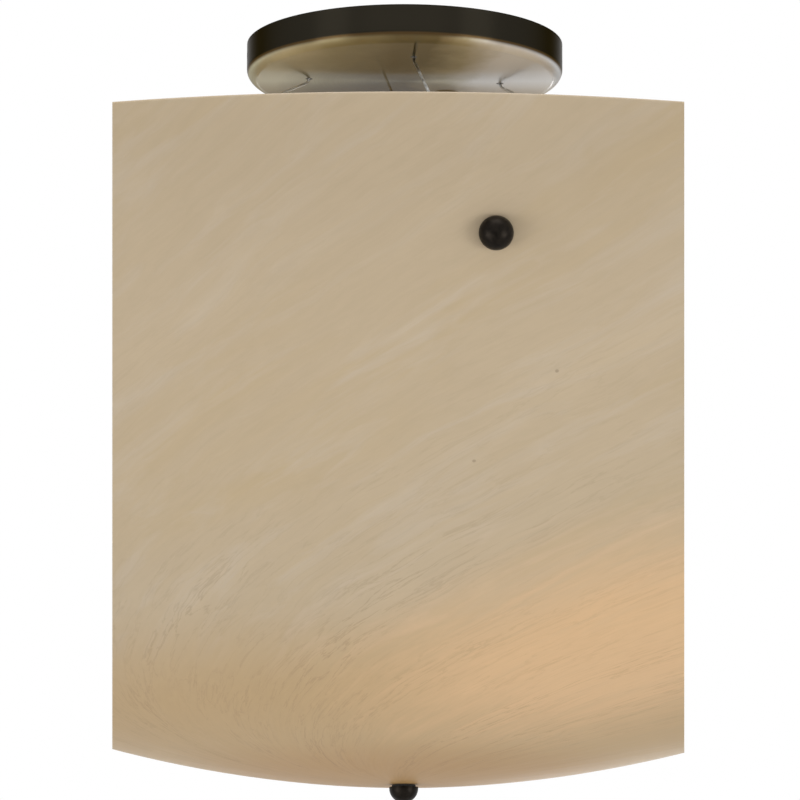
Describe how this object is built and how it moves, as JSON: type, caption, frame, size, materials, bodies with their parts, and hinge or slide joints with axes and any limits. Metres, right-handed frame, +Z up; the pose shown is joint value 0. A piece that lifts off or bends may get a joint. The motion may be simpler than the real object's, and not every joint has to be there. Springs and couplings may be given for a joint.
{
  "type": "six-light bowl pendant",
  "caption": "Bowl pendant: wide open alabaster-look bowl hung on steel cables from a round spun canopy, ball knobs at its side, a finial below and a cluster of lampholders inside.",
  "frame": {"origin": "centre of the canopy on the ceiling plane, where the mounting plate is screwed up", "axes": "+Z up, away from the room; +Z is the axis of canopy and bowl; -Y is the front, from which the picture was taken; +X to the right seen from the front"},
  "size_m": [0.9143, 0.9144, 0.4264],
  "materials": {
    "zinc_plate": "zinc-plated sheet, satin",
    "green_screw": "green passivated screw",
    "antique_bronze": "spun pan, antique bronze plating under clear lacquer",
    "black_screw": "black oxide",
    "nylon": "moulded nylon",
    "black_bushing": "moulded nylon, dark",
    "swaged_steel": "bright turned steel",
    "steel_cable": "stranded steel wire",
    "rubber": "moulded rubber",
    "alabaster_acrylic": "cast sheet with a satin surface, veined cream and beige",
    "dark_bronze": "blackened bronze, satin",
    "white_enamel": "white baked enamel",
    "porcelain": "glazed porcelain",
    "brass": "stamped brass",
    "lead_insulation": "heat-resistant sleeve",
    "bulb_cap": "rolled aluminium",
    "frosted_glass": "frosted white glass"
  },
  "bodies": {
    "root": {"mounting_plate": "zinc_plate", "ground_screw": "green_screw", "canopy": "antique_bronze", "canopy_set_screws": "black_screw", "canopy_cord_gland": "nylon", "canopy_gland_nut": "nylon", "cable_bushings": "black_bushing", "cable_stops": "swaged_steel", "cable_front": "steel_cable", "cable_right": "steel_cable", "cable_back": "steel_cable", "cable_left": "steel_cable", "cable_terminals": "swaged_steel", "inner_washers": "rubber", "outer_washers": "rubber", "bowl": "alabaster_acrylic", "bowl_gasket": "rubber", "seat_plate": "zinc_plate", "centre_stud": "zinc_plate", "centre_nut": "zinc_plate", "finial_washer": "rubber", "cluster_body": "white_enamel", "cluster_cover": "white_enamel", "cover_screws": "swaged_steel", "cluster_cord_gland": "nylon", "cluster_gland_nut": "nylon", "terminal_block": "porcelain", "terminal_screws": "brass", "lamp_leads": "lead_insulation", "lamp_arms": "zinc_plate", "arm_nuts": "zinc_plate", "lampholder_1": "porcelain", "lampholder_2": "porcelain", "lampholder_3": "porcelain", "lampholder_4": "porcelain", "lampholder_5": "porcelain", "lampholder_6": "porcelain", "screw_shells": "brass", "lamp_contacts": "brass"},
    "knob_front": {"knob_front": "dark_bronze"},
    "knob_right": {"knob_right": "dark_bronze"},
    "knob_back": {"knob_back": "dark_bronze"},
    "knob_left": {"knob_left": "dark_bronze"},
    "finial": {"finial": "dark_bronze"},
    "bulb_1": {"bulb_cap_1": "bulb_cap", "bulb_glass_1": "frosted_glass"},
    "bulb_2": {"bulb_cap_2": "bulb_cap", "bulb_glass_2": "frosted_glass"},
    "bulb_3": {"bulb_cap_3": "bulb_cap", "bulb_glass_3": "frosted_glass"},
    "bulb_4": {"bulb_cap_4": "bulb_cap", "bulb_glass_4": "frosted_glass"},
    "bulb_5": {"bulb_cap_5": "bulb_cap", "bulb_glass_5": "frosted_glass"},
    "bulb_6": {"bulb_cap_6": "bulb_cap", "bulb_glass_6": "frosted_glass"}
  },
  "joints": [
    {"name": "knob_front_turn", "type": "hinge", "parent": "root", "child": "knob_front", "pos_m": [0.04098, -0.44171, -0.20394], "axis": [0.0837, -0.9025, -0.4225], "continuous": true},
    {"name": "knob_right_turn", "type": "hinge", "parent": "root", "child": "knob_right", "pos_m": [0.44171, 0.04098, -0.20394], "axis": [0.9025, 0.0837, -0.4225], "continuous": true},
    {"name": "knob_back_turn", "type": "hinge", "parent": "root", "child": "knob_back", "pos_m": [-0.04098, 0.44171, -0.20394], "axis": [-0.0837, 0.9025, -0.4225], "continuous": true},
    {"name": "knob_left_turn", "type": "hinge", "parent": "root", "child": "knob_left", "pos_m": [-0.44171, -0.04098, -0.20394], "axis": [-0.9025, -0.0837, -0.4225], "continuous": true},
    {"name": "finial_turn", "type": "hinge", "parent": "root", "child": "finial", "pos_m": [0, 0, -0.41789], "axis": [0, 0, -1], "continuous": true},
    {"name": "bulb_1_screw", "type": "hinge", "parent": "root", "child": "bulb_1", "pos_m": [0.02673, -0.03776, -0.38264], "axis": [0.543, -0.7669, 0.342], "range_deg": [0, 1980]},
    {"name": "bulb_2_screw", "type": "hinge", "parent": "root", "child": "bulb_2", "pos_m": [0.04607, 0.00427, -0.38264], "axis": [0.9357, 0.0868, 0.342], "range_deg": [0, 1980]},
    {"name": "bulb_3_screw", "type": "hinge", "parent": "root", "child": "bulb_3", "pos_m": [0.01933, 0.04203, -0.38264], "axis": [0.3927, 0.8537, 0.342], "range_deg": [0, 1980]},
    {"name": "bulb_4_screw", "type": "hinge", "parent": "root", "child": "bulb_4", "pos_m": [-0.02673, 0.03776, -0.38264], "axis": [-0.543, 0.7669, 0.342], "range_deg": [0, 1980]},
    {"name": "bulb_5_screw", "type": "hinge", "parent": "root", "child": "bulb_5", "pos_m": [-0.04607, -0.00427, -0.38264], "axis": [-0.9357, -0.0868, 0.342], "range_deg": [0, 1980]},
    {"name": "bulb_6_screw", "type": "hinge", "parent": "root", "child": "bulb_6", "pos_m": [-0.01933, -0.04203, -0.38264], "axis": [-0.3927, -0.8537, 0.342], "range_deg": [0, 1980]}
  ]
}
